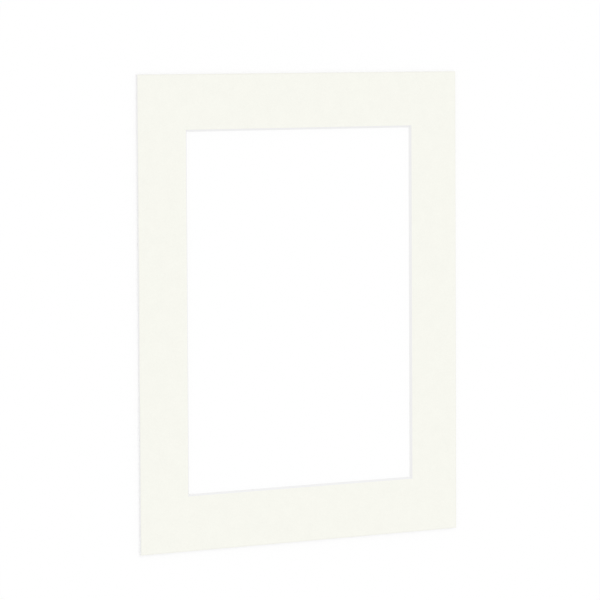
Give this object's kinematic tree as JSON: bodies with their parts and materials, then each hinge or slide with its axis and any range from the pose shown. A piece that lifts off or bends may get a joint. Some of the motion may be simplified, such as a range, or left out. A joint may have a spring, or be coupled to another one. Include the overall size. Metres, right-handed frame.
{
  "type": "picture mount",
  "caption": "Flat rectangular mount board with a bevel-cut rectangular window, laid over a picture inside a frame.",
  "frame": {"origin": "middle of the sheet's back face, on the surface that the sheet lies on", "axes": "+Z out of the face, +Y towards the top of the sheet along its long side, +X towards its right side as seen from the face"},
  "size_m": [0.24, 0.3, 0.0015],
  "materials": {
    "mount_board": "matt off-white facing paper on a white core, bare at the bevel and the outer edges"
  },
  "bodies": {
    "root": {"mount_board": "mount_board"}
  },
  "joints": []
}
